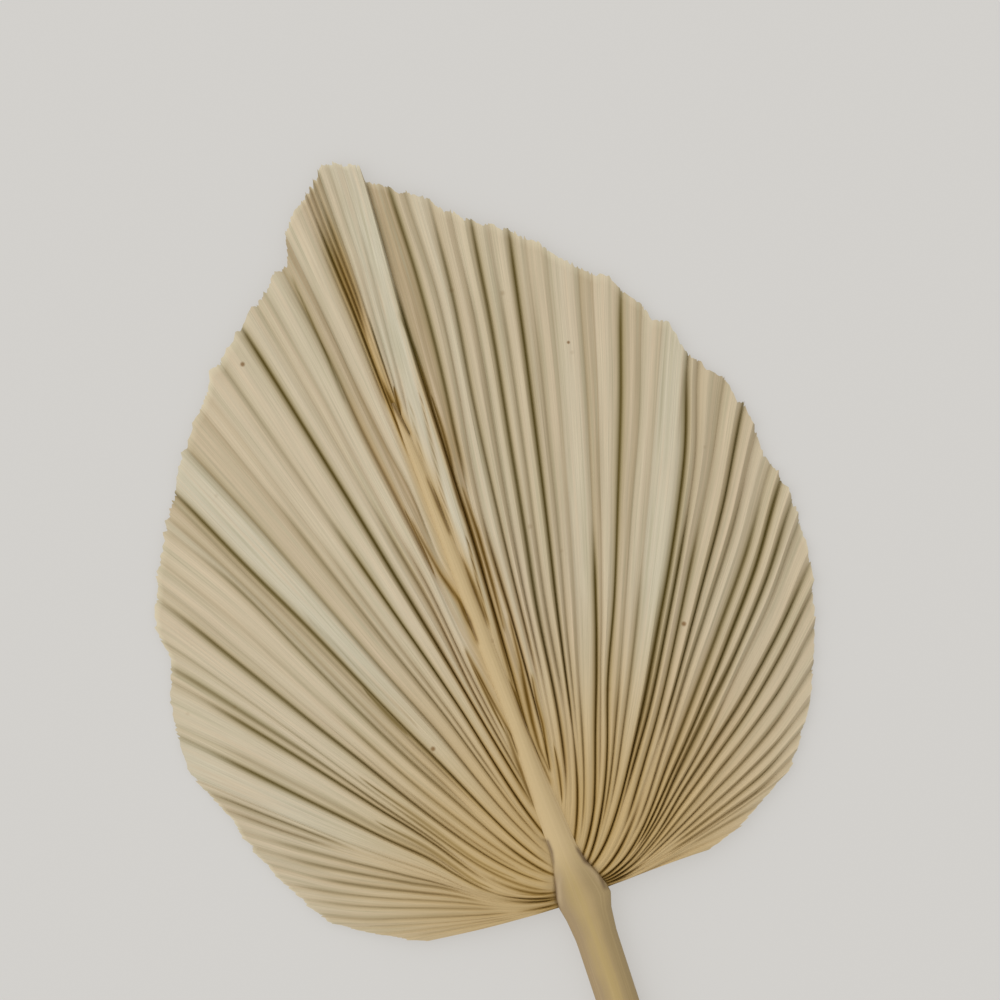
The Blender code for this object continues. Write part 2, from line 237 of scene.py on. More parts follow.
# How the ribs bend sideways on their way: a place on the margin, and how far the rib there is
# moved along the margin at each of BEND_SHARES.
BEND_SHARES = (0.40, 0.55, 0.70, 0.85)
BENDS = (
    (0, 0, 0, 0, 0),
    (42, -1, -1, -1.5, -2),
    (60, 6, 4, 0, -1.5),
    (70, 9, 3.5, -1, -2.5),
    (79, 14, 7, 1, -2),
    (88, 15, 9, 3, 0),
    (98, 13, 8, 2, -1),
    (106, 10, 6, 1, -0.5),
    (131, 9, 4, 1, 0),
    (136, 10, 6, 4, 2),
    (151, 7, 4, 2, 0.5),
    (157, 7, 4, 2, 0),
    (184, 1, 1, -1, -1.5),
    (211, -1, -1, 0, 1.5),
    (225, 0, 0, 0, -1),
    (243, 1, 0.5, 0.5, 0.5),
    (277, 1, 0, -0.5, -0.5),
    (293, 0.5, 0, 0, 0),
    (304, 3, 1.5, 0.5, 0),
    (320, 1.5, 0.5, -0.5, 0.5),
    (335, 4, 2.5, 1, 0.5),
    (352, 0, 0, 0.5, 0),
    (385, 0, 0, 0, 0),
    (393, 0, 3, 4, 2.5),
    (399, 0, 3, 5, 4.5),
    (410, 0, 1, 1.5, 2),
    (419, 0, 1.5, 2.5, 2.5),
    (427, -1, 1, 1.5, 1.5),
    (443, 1, 1, 1, 1),
    (458, 0, 0.5, 1, 1.5),
    (473, 3.5, 3, 2.5, 2),
    (491, -4, -1, 0.5, 1.5),
    (501, -2, -1.5, 0, 2),
    (511, -1.5, -1, 0, 0.5),
    (526.5, 1, 3, 5.5, 5),
    (531, 3.5, 5, 6.5, 6),
    (543.5, 1.5, 2, 2.5, 3),
    (555, 0, 2, 4, 4.5),
    (566, -3, -2.5, 1, 3),
    (580, -2.5, -1, 1.5, 3),
    (588, 1, 2.5, 3.5, 4),
    (596, -2.5, -1, 3, 3.5),
    (605, 2, 3.5, 3.5, 4.5),
    (621, -5, -1.5, 3, 3.5),
    (632, -3, 0.5, 5, 4),
    (646, -1, 0.5, 4, 4.5),
    (661, 1, 2, 4.5, 4.5),
    (675, -0.5, 0, 3, 4),
    (686, 1, 2.5, 4.5, 5),
    (696, 0.5, 1.5, 2.5, 3.5),
    (719, 0, 0.5, 0.5, 0),
    (745, 0, 0, 0, 0),
)

# How high the folds stand and how much paler their faces are, place by place along the margin.
REGIONS = (
    (0, 1, 0.05),
    (95, 1, 0.05),
    (125, 0.8, 0),
    (225, 0.65, 0),
    (290, 0.85, -0.03),
    (385, 1, -0.1),
    (440, 1, -0.12),
    (450, 0.75, -0.1),
    (505, 0.65, -0.14),
    (522, 0.9, -0.14),
    (540, 1.15, -0.12),
    (600, 1.15, -0.08),
    (700, 1.15, -0.04),
    (745, 1, -0.1),
)

# Where the blade's ribs start at the stalk, as places on the margin: only these grooves reach it.
ROOT_GROOVES = (
    0, 42, 98, 130.5, 157, 211.5, 278, 352, 385, 442.5, 472.5, 491, 527, 555.5, 581, 606, 633,
    675.5, 745,
)
ROOT_RIB_HEIGHT, ROOT_RIB_REACH = 1.15, (0.10, 0.30)
ROOT_GROOVE_WIDTH, ROOT_SHADE_WIDTH = 0.4, 0.9

# How the blade's rim stands out past the cut at a few places along it.
RIM = ((0, 0), (374, 0), (379, 0.6), (383.4, 4.3), (384.6, -0.4), (386, 0), (745, 0))

# Height of the leaf's middle over the floor along y, and how far its sides come down.
CROWN = (
    (-172, 4.7), (-100, 5.2), (-50, 6.2), (-15, 7.8), (60, 10.6), (140, 10.6), (220, 7.6), (290, 4.2),
)
DROOP, DROOP_REACH, DROOP_POWER = 8.9, 125.0, 1.7

# Stalk and midrib: y, left edge, right edge, height above the crown, depth under it, and how
# far its top is a soft bell instead of a round.
STALK = (
    (-171.4, -10.5, 4.8, 4.6, 4.7, 0),
    (-140, -10.2, 5.6, 4.6, 4.7, 0),
    (-100, -9.4, 6.8, 4.5, 4.6, 0),
    (-60, -8.5, 7.2, 4.3, 4.4, 0),
    (-25, -8.6, 7.4, 4.2, 4.2, 0),
    (-16, -9.6, 8.3, 3.8, 4, -0.2),
    (-10.5, -10.8, 9.9, 3.2, 3.9, -0.4),
    (-7, -10.7, 9.3, 3, 3.8, -0.4),
    (-2, -9.6, 7.4, 2.8, 3.8, -0.3),
    (4, -8.3, 4.6, 2.5, 3.6, 0),
    (10, -7.4, 3.2, 2.2, 3.2, 0.5),
    (20, -7.5, 2.3, 2.1, 2.9, 0.9),
    (40, -7.6, 0.3, 1.8, 2.3, 1),
    (60, -7.1, -0.8, 1.6, 1.9, 1),
    (90, -8.5, -2.4, 1.4, 1.6, 1),
    (125, -9.4, -4.2, 1.2, 1.3, 1),
    (160, -10.4, -6.4, 1, 1.1, 1),
    (176, -10.9, -7.9, 0.7, 1, 1),
    (191, -10.9, -9.8, 0.3, 0.8, 1),
)
STALK_END = -172.0

# The dried seams where the blade's folds meet the stalk, left and right: x, y, half width and
# darkness. Each has a pale lip beside it.
SEAMS = (
    ((-8.4, 16.2, 0.5, 0.5), (-6.9, 15.2, 0.7, 1), (-6.7, 10.8, 0.75, 1), (-7.3, 7, 0.6, 0.9),
     (-8.2, 3.6, 0.45, 0.45), (-9.4, -1.9, 0.6, 0.85), (-10.2, -4.4, 0.8, 0.95),
     (-10.9, -7.6, 0.7, 0.8), (-10.8, -11, 0.6, 0.6)),
    ((2.6, 10.2, 0.3, 0.2), (3, 8.6, 0.7, 0.8), (4.4, 3.6, 0.9, 1), (6.4, 0.6, 0.7, 0.6),
     (7.5, -3, 0.5, 0.45), (8.1, -5.6, 0.8, 0.8), (8.2, -8.2, 0.7, 0.7), (9.8, -8.6, 0.5, 0.5)),
)
LIPS = (
    ((-6.4, 1.5, 0.6, 0.3), (-8.2, -2.5, 0.8, 0.9), (-9.2, -6.5, 0.9, 0.9), (-9.5, -9.5, 0.6, 0.2)),
    ((3.6, 3.4, 0.5, 0.4), (5.6, 0, 0.9, 0.9), (6.7, -3, 0.9, 0.9), (6.9, -6.4, 0.6, 0.3)),
)

# ---------- The visual model's own sizes ----------

SEED = 7
HALVES = (("blade_left", 0, 41), ("blade_right", 41, len(PLEATS)))  # their runs of PLEATS
SHEET_THICKNESS = 0.45
ROWS, ROW_CROWDING = 84, 1.15  # rows of points from root to margin, closer at the root
COLUMN_STEP = 1.4  # widest gap between columns, measured along the margin
FINE_STEP, FINE_PLACES = 0.75, (300, 470)  # and beside the midrib
GROOVE_COLUMNS = (0.35, 0.8, 1.4)  # columns beside each groove

# Each groove is a crack darkened with painted shade, with warm painted shade beside it. Their
# half widths are real millimetres, and they narrow where the ribs run together.
GROOVE_WIDTH, PAINTED_SHADE_WIDTH, GROOVE_DEPTH = 0.68, 1.9, 0.65
GROOVE_SQUEEZE, LEAST_SQUEEZE = 1.6, 0.5
SLIT_SHADE_SPREAD, CLEFT_SHADE_SPREAD, STALK_SHADE_SPREAD = 0.7, 0.8, 0.5  # the painted shade's extra half width by those
SEAM_SPREAD = 0.1  # and a seam's, on the blade
GROOVE_OPENING, GROOVE_CLOSING = (-0.05, 0.06), (-0.06, 0.06)  # shares round its start and end
CLOSED_LOSS = 0.72  # how much of its darkness a groove loses past its end
FOLD_OPENING = (-0.12, 0.08)  # shares round a groove's start over which its folds part
MERGED, MERGED_WIDTH = 0.75, 4.0  # how flat and how wide they run on as one before that

# The folds: round by the root, creased further out, and sunk under the blade's smooth surface.
TYPICAL_PLEAT = 9.0
NARROW_GROOVE, NARROW_FOLD = 1.4, 3.5  # a typical pleat squeezed below these loses groove, height
ROOT_ROUNDING, MARGIN_EASE = (0.12, 0.52), (0.3, 0.7)  # shares
ROOT_FOLD, FOLD_SINK = 0.9, 0.8
MIDRIB_CLEARANCE, MIDRIB_SINK = 4.5, 0.25  # where the folds begin beside the midrib, in millimetres
RIPPLE_HEIGHT, RIPPLE_SCALE, RIPPLE_RISE = 0.5, 6.0, (0.0, 0.6)
VEIN_HEIGHT, VEIN_PITCH, VEIN_REACH = 0.12, 0.5, 2.5
SHARP_FOLD, SHARP_STALK = math.radians(50), math.radians(40)  # edges steeper than these stay sharp
MERGE_DISTANCE = 1e-7
WANDER, WANDER_SCALE = 0.9, 14.0  # how far a rib strays sideways, along the margin
CUT_RAGGEDNESS = 0.42

# Where the blade is warm in colour, in millimetres from the stalk's top and from the midrib, and
# the one dark pleat beside the midrib. The grooves' painted shade is brown near the midrib and
# olive further out.
WARM_STALK, WARM_MIDRIB, BROWN_GAP = (15, 120), (0.5, 4.0), (8, 22)
WARMEST, MIDRIB_WARMTH = 0.95, 0.75
BRAID_PLACE, BRAID_WIDTH, BRAID_END, BRAID_WARMTH = 355, 6, (0.75, 0.95), 0.9
FAR_FACE_PAINTED_SHADE = 0.12  # painted shade: a pleat's face past its crease, its steep falling side, is this much darker
LEFT_ROOT_PLACES, LEFT_ROOT_SHARES, LEFT_ROOT_LOSS = (190, 240), (0.30, 0.55), 0.5  # faint grooves

STALK_SIDES = 64
STALK_RIDGES, RIDGE_HEIGHT = (5, 9, 14, 21), 0.05  # ridges round the stalk
CUT_TRIM = 0.93  # the stalk's cut end is this much narrower
BELL_POWER = 1.2
MIDRIB_START = (-6, 16)  # y over which the stalk takes on the midrib's colour

# ---------- Rules of the shape ----------


def rise(value, low, high):
    """0 up to low and 1 from high on, with soft ends."""
    part = np.clip((value - low) / (high - low), 0, 1)
    return part * part * (3 - 2 * part)


def hump(gap, width):
    """1 where the gap is 0, falling off softly on both sides."""
    return np.exp(-((gap / width) ** 2))


def crown(y):
    """Height of the leaf's middle line."""
    places, heights = zip(*CROWN)
    return np.interp(y, places, heights)


def blade_height(x, y):
    """Height of the blade's middle surface without its pleats."""
    return crown(y) - DROOP * (np.abs(x) / DROOP_REACH) ** DROOP_POWER


def rib_points(place, share, cut):
    """x and y of the blade at places along the margin and shares of the way from root to margin."""
    margin, root, root_angle, margin_angle = (np.array(column, float) for column in zip(*GUIDES))
    along = np.concatenate(([0.0], np.cumsum(np.hypot(*np.diff(margin, axis=0).T))))

    def pick(column):
        return np.interp(place, along, column)

    start = np.stack([pick(root[:, 0]), pick(root[:, 1])])
    end = np.stack([pick(margin[:, 0]), pick(margin[:, 1])])
    length = np.hypot(*(end - start))
    angles = [np.radians(pick(root_angle)), np.radians(pick(margin_angle))]
    leave, arrive = (np.stack([np.cos(angle), np.sin(angle)]) for angle in angles)
    end = end + cut * arrive
    first = start + ROOT_REACH * length * leave
    second = end - MARGIN_REACH * length * arrive
    rest = 1 - share
    near, far = rest**3 * start + share**3 * end, 3 * rest * share * (rest * first + share * second)
    return near + far


def bend(place, share):
    """How far the ribs are moved along the margin: a smooth curve through the table's values."""
    table = np.array(BENDS, float)
    total = 0.0
    for column, middle in enumerate(BEND_SHARES, 1):
        gap = np.abs(share - middle) / (BEND_SHARES[1] - BEND_SHARES[0])
        near = 1.5 * gap**3 - 2.5 * gap**2 + 1
        far = -0.5 * gap**3 + 2.5 * gap**2 - 4 * gap + 2
        weight = np.where(gap < 1, near, np.where(gap < 2, far, 0.0))
        total = total + np.interp(place, table[:, 0], table[:, column]) * weight
    return total


def leaf_box():
    """Lowest and highest corner of the CAD leaf in the leaf's own frame."""
    places, cuts = [0.0], [0.0]
    for width, crease, _, cut, *_ in PLEATS:
        start = places[-1]
        places += [start + crease * width, start + width]
        cuts += [cut, 0.0]
    x, y = rib_points(np.array(places), 1.0, np.array(cuts))
    return np.array([x.min(), STALK_END, 0.0]), np.array([x.max(), y.max(), 0.0])


LEAF_LOW, LEAF_HIGH = leaf_box()
NODE_LOW, NODE_HIGH = (np.array(corner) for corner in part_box(NODE))
SHIFT = (NODE_LOW + NODE_HIGH) / 2 - (LEAF_LOW + LEAF_HIGH) / 2 * MM
SHIFT[2] = NODE_LOW[2]


def to_row(points):
    """Leaf millimetres to the CAD's frame, in metres."""
    return np.asarray(points, float) * MM + SHIFT


def waves(place, share, scale, seed):
    """Soft random hills between -1 and 1, long along the ribs."""
    rng = np.random.default_rng(seed)
    total = np.zeros(np.broadcast(place, share).shape)
    for _ in range(7):
        across, along = rng.uniform(0.5, 1.6) / scale, rng.uniform(2.0, 9.0)
        total += np.sin(across * place + along * share + rng.uniform(0, 6.28))
    return total / 4


# ---------- Node helpers ----------


def add_node(tree, kind, inputs=None, **settings):
    """A node with its settings made and its inputs set, or linked where a socket is given."""
    node = tree.nodes.new(kind)
    for name, value in settings.items():
        setattr(node, name, value)
    for key, value in (inputs or {}).items():
        if isinstance(value, bpy.types.NodeSocket):
            tree.links.new(value, node.inputs[key])
        else:
            node.inputs[key].default_value = value
    return node


def math_of(tree, operation, *values, clamp=False):
    inputs = dict(enumerate(values))
    return add_node(tree, "ShaderNodeMath", inputs, operation=operation, use_clamp=clamp).outputs[0]


def times(tree, first, second, clamp=False):
    return math_of(tree, "MULTIPLY", first, second, clamp=clamp)


def noise(tree, point, scale, detail, roughness=0.5):
    """Noise between 0 and 1."""
    inputs = {"Vector": point, "Scale": scale, "Detail": detail, "Roughness": roughness}
    return add_node(tree, "ShaderNodeTexNoise", inputs).outputs["Fac"]


def add_sockets(tree, direction, sockets):
    for name, kind, value in sockets:
        socket = tree.interface.new_socket(name, in_out=direction, socket_type=kind)
        if value is not None:
            socket.default_value = value


# ---------- Geometry Nodes ----------


def pleating_tree():
    """Folds a smooth sheet along its ribs, veins it and gives it its thickness."""
    tree = bpy.data.node_groups.new("pleat_the_sheet", "GeometryNodeTree")
    add_sockets(tree, "INPUT", (
        ("Geometry", "NodeSocketGeometry", None),
        ("Fold Depth", "NodeSocketFloat", 1.0),
        ("Groove Depth", "NodeSocketFloat", GROOVE_DEPTH),
        ("Vein Height", "NodeSocketFloat", VEIN_HEIGHT),
        ("Veins per Millimetre", "NodeSocketFloat", VEIN_PITCH),
        ("Thickness", "NodeSocketFloat", SHEET_THICKNESS),
        ("Sharp Angle", "NodeSocketFloat", SHARP_FOLD),
        ("Seed", "NodeSocketInt", SEED),
        ("Material", "NodeSocketMaterial", None),
    ))
    add_sockets(tree, "OUTPUT", (("Geometry", "NodeSocketGeometry", None),))
    given = add_node(tree, "NodeGroupInput").outputs
    read = {
        name: add_node(tree, "GeometryNodeInputNamedAttribute", {"Name": name}).outputs["Attribute"]
        for name in ("fold", "crack", "place", "share")
    }
    across = times(tree, read["place"], given["Veins per Millimetre"])
    along = times(tree, read["share"], VEIN_REACH)
    spot = add_node(tree, "ShaderNodeCombineXYZ", {"X": across, "Y": along, "Z": given["Seed"]})
    vein = math_of(tree, "SUBTRACT", noise(tree, spot.outputs[0], 1.0, 2.0), 0.5)
    vein = times(tree, times(tree, vein, 2.0), given["Vein Height"])
    fold = times(tree, read["fold"], given["Fold Depth"])
    crack = times(tree, read["crack"], given["Groove Depth"])
    height = math_of(tree, "ADD", math_of(tree, "SUBTRACT", fold, crack), vein)
    sunk = math_of(tree, "SUBTRACT", height, times(tree, given["Thickness"], 0.5))
    offset = add_node(tree, "ShaderNodeCombineXYZ", {"Z": times(tree, sunk, MM)})
    folded = add_node(tree, "GeometryNodeSetPosition", {
        "Geometry": given["Geometry"], "Offset": offset.outputs[0],
    })
    up = add_node(tree, "ShaderNodeCombineXYZ", {"Z": times(tree, given["Thickness"], MM)})
    raised = add_node(tree, "GeometryNodeExtrudeMesh", {
        "Mesh": folded.outputs[0], "Offset": up.outputs[0], "Individual": False,
    }, mode="FACES")
    under = add_node(tree, "GeometryNodeFlipFaces", {"Mesh": folded.outputs[0]})
    both = add_node(tree, "GeometryNodeJoinGeometry", {"Geometry": raised.outputs["Mesh"]})
    tree.links.new(under.outputs[0], both.inputs[0])
    closed = add_node(tree, "GeometryNodeMergeByDistance", {
        "Geometry": both.outputs[0], "Distance": MERGE_DISTANCE,
    })
    round_faces = add_node(tree, "GeometryNodeSetShadeSmooth", {
        "Geometry": closed.outputs[0], "Shade Smooth": True,
    }, domain="FACE")
    angle = add_node(tree, "GeometryNodeInputMeshEdgeAngle").outputs["Unsigned Angle"]
    sharp = add_node(tree, "FunctionNodeCompare", {
        "A": angle, "B": given["Sharp Angle"],
    }, operation="LESS_THAN")
    edged = add_node(tree, "GeometryNodeSetShadeSmooth", {
        "Geometry": round_faces.outputs[0], "Shade Smooth": sharp.outputs[0],
    }, domain="EDGE")
    real = add_node(tree, "GeometryNodeRealizeInstances", {"Geometry": edged.outputs[0]})
    coloured = add_node(tree, "GeometryNodeSetMaterial", {
        "Geometry": real.outputs[0], "Material": given["Material"],
    })
    add_node(tree, "NodeGroupOutput", {"Geometry": coloured.outputs[0]})
    return tree


def run_tree(obj, tree, **values):
    """Runs a Geometry Nodes tree on an object and leaves the result as the object's plain mesh."""
    modifier = obj.modifiers.new(tree.name, "NODES")
    modifier.node_group = tree
    for item in tree.interface.items_tree:
        if item.in_out == "INPUT" and item.name in values:
            modifier[item.identifier] = values[item.name]
    bpy.context.view_layer.update()
    graph = bpy.context.evaluated_depsgraph_get()
    mesh = bpy.data.meshes.new_from_object(obj.evaluated_get(graph))
    old = obj.data
    obj.modifiers.remove(modifier)
    obj.data = mesh
    mesh.name = obj.name
    bpy.data.meshes.remove(old)
    return obj


# ---------- Shader node groups ----------


def fibre_group():
    """Long fibres: fine streaks between 0 and 1, and broad ones, on stretched coordinates."""
    tree = bpy.data.node_groups.new("fibre_streaks", "ShaderNodeTree")
    add_sockets(tree, "INPUT", (
        ("Across", "NodeSocketFloat", 0.0),
        ("Along", "NodeSocketFloat", 0.0),
        ("Fine", "NodeSocketFloat", 4.0),
        ("Broad", "NodeSocketFloat", 0.7),
    ))
    add_sockets(tree, "OUTPUT", (
        ("Fine Streaks", "NodeSocketFloat", None),
        ("Broad Streaks", "NodeSocketFloat", None),
    ))
    given = add_node(tree, "NodeGroupInput").outputs
    streaks = {}
    kinds = (("Fine Streaks", "Fine", 1.0, 3.0), ("Broad Streaks", "Broad", 0.45, 2.0))
    for name, scale, reach, detail in kinds:
        across, along = times(tree, given["Across"], given[scale]), times(tree, given["Along"], reach)
        spot = add_node(tree, "ShaderNodeCombineXYZ", {"X": across, "Y": along})
        streaks[name] = ramp(tree, noise(tree, spot.outputs[0], 1.0, detail, 0.6), 0.3, 0.7)
    add_node(tree, "NodeGroupOutput", streaks)
    return tree


def speck_group(spots):
    """Dark age specks: a few at spots, as x, y and radius in leaf millimetres, and sparse dust."""
    tree = bpy.data.node_groups.new("age_specks", "ShaderNodeTree")
    add_sockets(tree, "INPUT", (
        ("Dust", "NodeSocketFloat", 0.3),
        ("Size", "NodeSocketFloat", 110.0),
    ))
    add_sockets(tree, "OUTPUT", (("Speck", "NodeSocketFloat", None),))
    given = add_node(tree, "NodeGroupInput").outputs
    point = add_node(tree, "ShaderNodeTexCoord").outputs["Object"]
    parts = add_node(tree, "ShaderNodeSeparateXYZ", {"Vector": point}).outputs
    cells = add_node(tree, "ShaderNodeTexVoronoi", {"Vector": point, "Scale": given["Size"]})
    chance = add_node(tree, "ShaderNodeSeparateColor", {"Color": cells.outputs["Color"]}).outputs[0]
    rare = math_of(tree, "GREATER_THAN", chance, 1 - DUST_SHARE)
    close = ramp(tree, cells.outputs["Distance"], 0.05, 0.14, 1.0, 0.0)
    total = times(tree, times(tree, rare, close), given["Dust"])
    for x, y, radius in spots:
        place = to_row((x, y, 0))
        gaps = [math_of(tree, "SUBTRACT", parts[axis], place[axis]) for axis in (0, 1)]
        gap = math_of(tree, "SQRT", math_of(tree, "ADD", *(times(tree, gap, gap) for gap in gaps)))
        spot = ramp(tree, gap, radius * SPECK_CORE * MM, radius * MM, 1.0, 0.0)
        total = math_of(tree, "MAXIMUM", total, spot)
    add_node(tree, "NodeGroupOutput", {"Speck": total})
    return tree


def mix_colour(tree, amount, low, high, blend="MIX"):
    """low where amount is 0 and high where it is 1."""
    node = add_node(tree, "ShaderNodeMix", data_type="RGBA", blend_type=blend)
    for index, value in ((0, amount), (6, low), (7, high)):
        if isinstance(value, bpy.types.NodeSocket):
            tree.links.new(value, node.inputs[index])
        else:
            node.inputs[index].default_value = value if index == 0 else (*value, 1.0)
    return node.outputs[2]


def painted(tree, colour, *layers):
    """The colour with each layer's shade laid over it in turn, as strongly as its amount."""
    for amount, shade in layers:
        colour = mix_colour(tree, amount, colour, shade)
    return colour


def ramp(tree, value, low, high, start=0.0, end=1.0):
    """value taken from low..high to start..end, held beyond them."""
    return add_node(tree, "ShaderNodeMapRange", {
        "Value": value, "From Min": low, "From Max": high, "To Min": start, "To Max": end,
    }).outputs[0]


def attribute(tree, name):
    return add_node(tree, "ShaderNodeAttribute", attribute_name=name).outputs["Fac"]


def new_material(name, roughness):
    material = bpy.data.materials.new(name)
    material.use_nodes = True
    shader = material.node_tree.nodes["Principled BSDF"]
    shader.inputs["Roughness"].default_value = roughness
    return material, material.node_tree, shader


# ---------- Materials ----------

CREAM = (0.59, 0.505, 0.36)
PALE = (0.575, 0.54, 0.42)
TAN = (0.435, 0.335, 0.20)
PINKISH = (0.57, 0.465, 0.33)
GREENISH = (0.49, 0.445, 0.30)
WARM = (0.53, 0.385, 0.185)
# Warm painted shade beside the grooves, slits and clefts.
PAINTED_SHADE_OCHRE = (0.37, 0.225, 0.045)
PAINTED_SHADE_OLIVE = (0.30, 0.235, 0.10)
# Painted shade in the grooves, slits and clefts, brown by the midrib and olive further out.
GROOVE_SHADE_BROWN = (0.125, 0.062, 0.003)
GROOVE_SHADE_OLIVE = (0.10, 0.068, 0.004)
SPECK_BROWN = (0.19, 0.095, 0.025)
# A painted highlight along the blade's cut edge.
CUT_EDGE_HIGHLIGHT = (0.74, 0.68, 0.50)
STALK_TAN = (0.415, 0.30, 0.118)
STALK_LEFT = (0.31, 0.22, 0.11)
# Painted shade down the stalk's right side, which turns away from the light.
STALK_RIGHT_PAINTED_SHADE = (0.31, 0.222, 0.10)
STALK_STREAK = (0.37, 0.262, 0.135)
SEAM_BROWN = (0.12, 0.07, 0.03)
LIP_PINK = (0.48, 0.36, 0.20)
MIDRIB_TAN = (0.55, 0.415, 0.22)
FLOOR_REACH = 3.0
FLOOR_GREY = (0.20, 0.20, 0.20)
FLOOR_GLOW = (0.442, 0.429, 0.407)  # the floor is a softly lit panel, so the leaf's shadow is faint
STALK_FIBRE = (0.50, 0.38, 0.20)
SPECKS, SPECK_CORE = ((-60, 223, 1.2), (-37, 62, 1.2), (68, 77, 1.2), (60, 192, 0.8)), 0.4
DUST_SHARE = 0.07  # of the dust's cells that hold a speck
CLOUD_SCALE, WANDER_NOISE = 22.0, 55.0  # patches for each metre
RIM_SHARES = (0.988, 0.999)  # the pale cut edge, a painted highlight


def fibre_streaks(tree, fibres, across, along, fine, broad):
    """Fine and broad streaks from the fibre group."""
    inputs = {"Across": across, "Along": along, "Fine": fine, "Broad": broad}
    outputs = add_node(tree, "ShaderNodeGroup", inputs, node_tree=fibres).outputs
    return outputs["Fine Streaks"], outputs["Broad Streaks"]


def finish(tree, shader, colour, rough_streaks, roughness, height, strength, depth):
    """Links the colour, a roughness that follows the streaks, and a bump depth millimetres deep."""
    tree.links.new(colour, shader.inputs["Base Color"])
    tree.links.new(ramp(tree, rough_streaks, 0, 1, *roughness), shader.inputs["Roughness"])
    bump = add_node(tree, "ShaderNodeBump", {
        "Strength": strength, "Distance": depth * MM, "Height": height,
    })
    tree.links.new(bump.outputs[0], shader.inputs["Normal"])


def blade_material(fibres, specks):
    """Dry pleated blade: pale and tan faces, painted shade past each crease, fibres along the ribs,
    grooves dark with painted shade and warm painted shade beside them, a warm root and a painted
    highlight on the cut edge.
    """
    material, tree, shader = new_material("dried_blade", 0.62)
    shader.inputs["Specular IOR Level"].default_value = 0.06
    place, share, tone, crack, painted_shade, seam, warmth, brown = (
        attribute(tree, name)
        for name in ("place", "share", "tone", "crack", "painted_shade", "seam", "warmth", "brown")
    )
    fine, broad = fibre_streaks(tree, fibres, place, times(tree, share, 6.0), 2.2, 0.42)
    point = add_node(tree, "ShaderNodeTexCoord").outputs["Object"]
    cloud = noise(tree, point, CLOUD_SCALE, 3.0)
    colour = mix_colour(tree, ramp(tree, tone, 0.0, 0.6), CREAM, PALE)
    colour = painted(
        tree, colour,
        (ramp(tree, tone, 0.0, -0.6), TAN),
        (ramp(tree, broad, 0.5, 1, 0, 0.6), PINKISH),
        (ramp(tree, broad, 0.5, 0.0, 0.0, 0.6), GREENISH),
        (ramp(tree, cloud, 0.45, 0.75, 0.0, 0.4), PINKISH),
        (warmth, WARM),
    )
    broad_shade, fine_shade = ramp(tree, broad, 0, 1, 0.94, 1.05), ramp(tree, fine, 0, 1, 0.86, 1.06)
    shade = times(tree, broad_shade, fine_shade)
    grey = add_node(tree, "ShaderNodeCombineColor", {0: shade, 1: shade, 2: shade}).outputs[0]
    speck = add_node(tree, "ShaderNodeGroup", node_tree=specks).outputs[0]
    # a painted highlight along the cut edge, in patches
    rim = times(tree, ramp(tree, share, *RIM_SHARES), ramp(tree, cloud, 0.4, 0.65, 0.0, 0.45))
    colour = painted(
        tree, mix_colour(tree, 1.0, colour, grey, "MULTIPLY"),
        # painted shade beside and in the grooves, slits and clefts
        (times(tree, painted_shade, 0.8, clamp=True), mix_colour(tree, brown, PAINTED_SHADE_OLIVE, PAINTED_SHADE_OCHRE)),
        (times(tree, crack, 0.9, clamp=True), mix_colour(tree, brown, GROOVE_SHADE_OLIVE, GROOVE_SHADE_BROWN)),
        (times(tree, speck, 0.8), SPECK_BROWN),
        (rim, CUT_EDGE_HIGHLIGHT),
        (times(tree, seam, 0.8, clamp=True), SEAM_BROWN),
    )
    height = math_of(tree, "ADD", fine, times(tree, broad, 1.5))
    finish(tree, shader, colour, fine, (0.56, 0.72), height, 0.45, 0.12)
    return material


def stalk_material(fibres, specks):
    """Smooth dry stalk: tan with fine lengthwise fibres, darker down its left side, with painted
    shade down its right side and in and beside its clefts.
    """
    material, tree, shader = new_material("dried_stalk", 0.5)
    point = add_node(tree, "ShaderNodeTexCoord").outputs["Object"]
    length = add_node(tree, "ShaderNodeSeparateXYZ", {"Vector": point}).outputs["Y"]
    turn, side, seam, lip, midrib, crack, painted_shade = (
        attribute(tree, name)
        for name in ("round", "side", "seam", "lip", "midrib", "crack", "painted_shade")
    )
    across, along = times(tree, turn, 24.0), times(tree, length, 14.0)
    fine, broad = fibre_streaks(tree, fibres, across, along, 3.0, 0.6)
    wander = noise(tree, point, WANDER_NOISE, 2.0)
    strayed = times(tree, math_of(tree, "SUBTRACT", wander, 0.5), 0.5)
    edge = math_of(tree, "ADD", side, strayed)
    below_midrib = ramp(tree, midrib, 0.9, 0.2)
    speck = add_node(tree, "ShaderNodeGroup", {"Dust": 0.4}, node_tree=specks).outputs[0]
    colour = mix_colour(tree, ramp(tree, broad, 0.5, 1, 0, 0.5), STALK_TAN, STALK_STREAK)
    colour = painted(
        tree, colour,
        (times(tree, ramp(tree, edge, -0.2, -0.7), below_midrib), STALK_LEFT),
        # painted shade down the right side
        (times(tree, ramp(tree, edge, 0.22, 0.5, 0.0, 0.85), below_midrib), STALK_RIGHT_PAINTED_SHADE),
        (ramp(tree, fine, 0.6, 1.0, 0.0, 0.3), STALK_FIBRE),
        (times(tree, midrib, 0.8), MIDRIB_TAN),
        # painted shade beside and in the clefts
        (times(tree, painted_shade, 0.6), PAINTED_SHADE_OCHRE),
        (times(tree, crack, 0.9), GROOVE_SHADE_BROWN),
        (times(tree, speck, 0.6), SPECK_BROWN),
        (times(tree, lip, 0.55), LIP_PINK),
        (times(tree, seam, ramp(tree, wander, 0.35, 0.6, 0.45, 0.95)), SEAM_BROWN),
    )
    finish(tree, shader, colour, fine, (0.42, 0.58), fine, 0.4, 0.1)
    return material


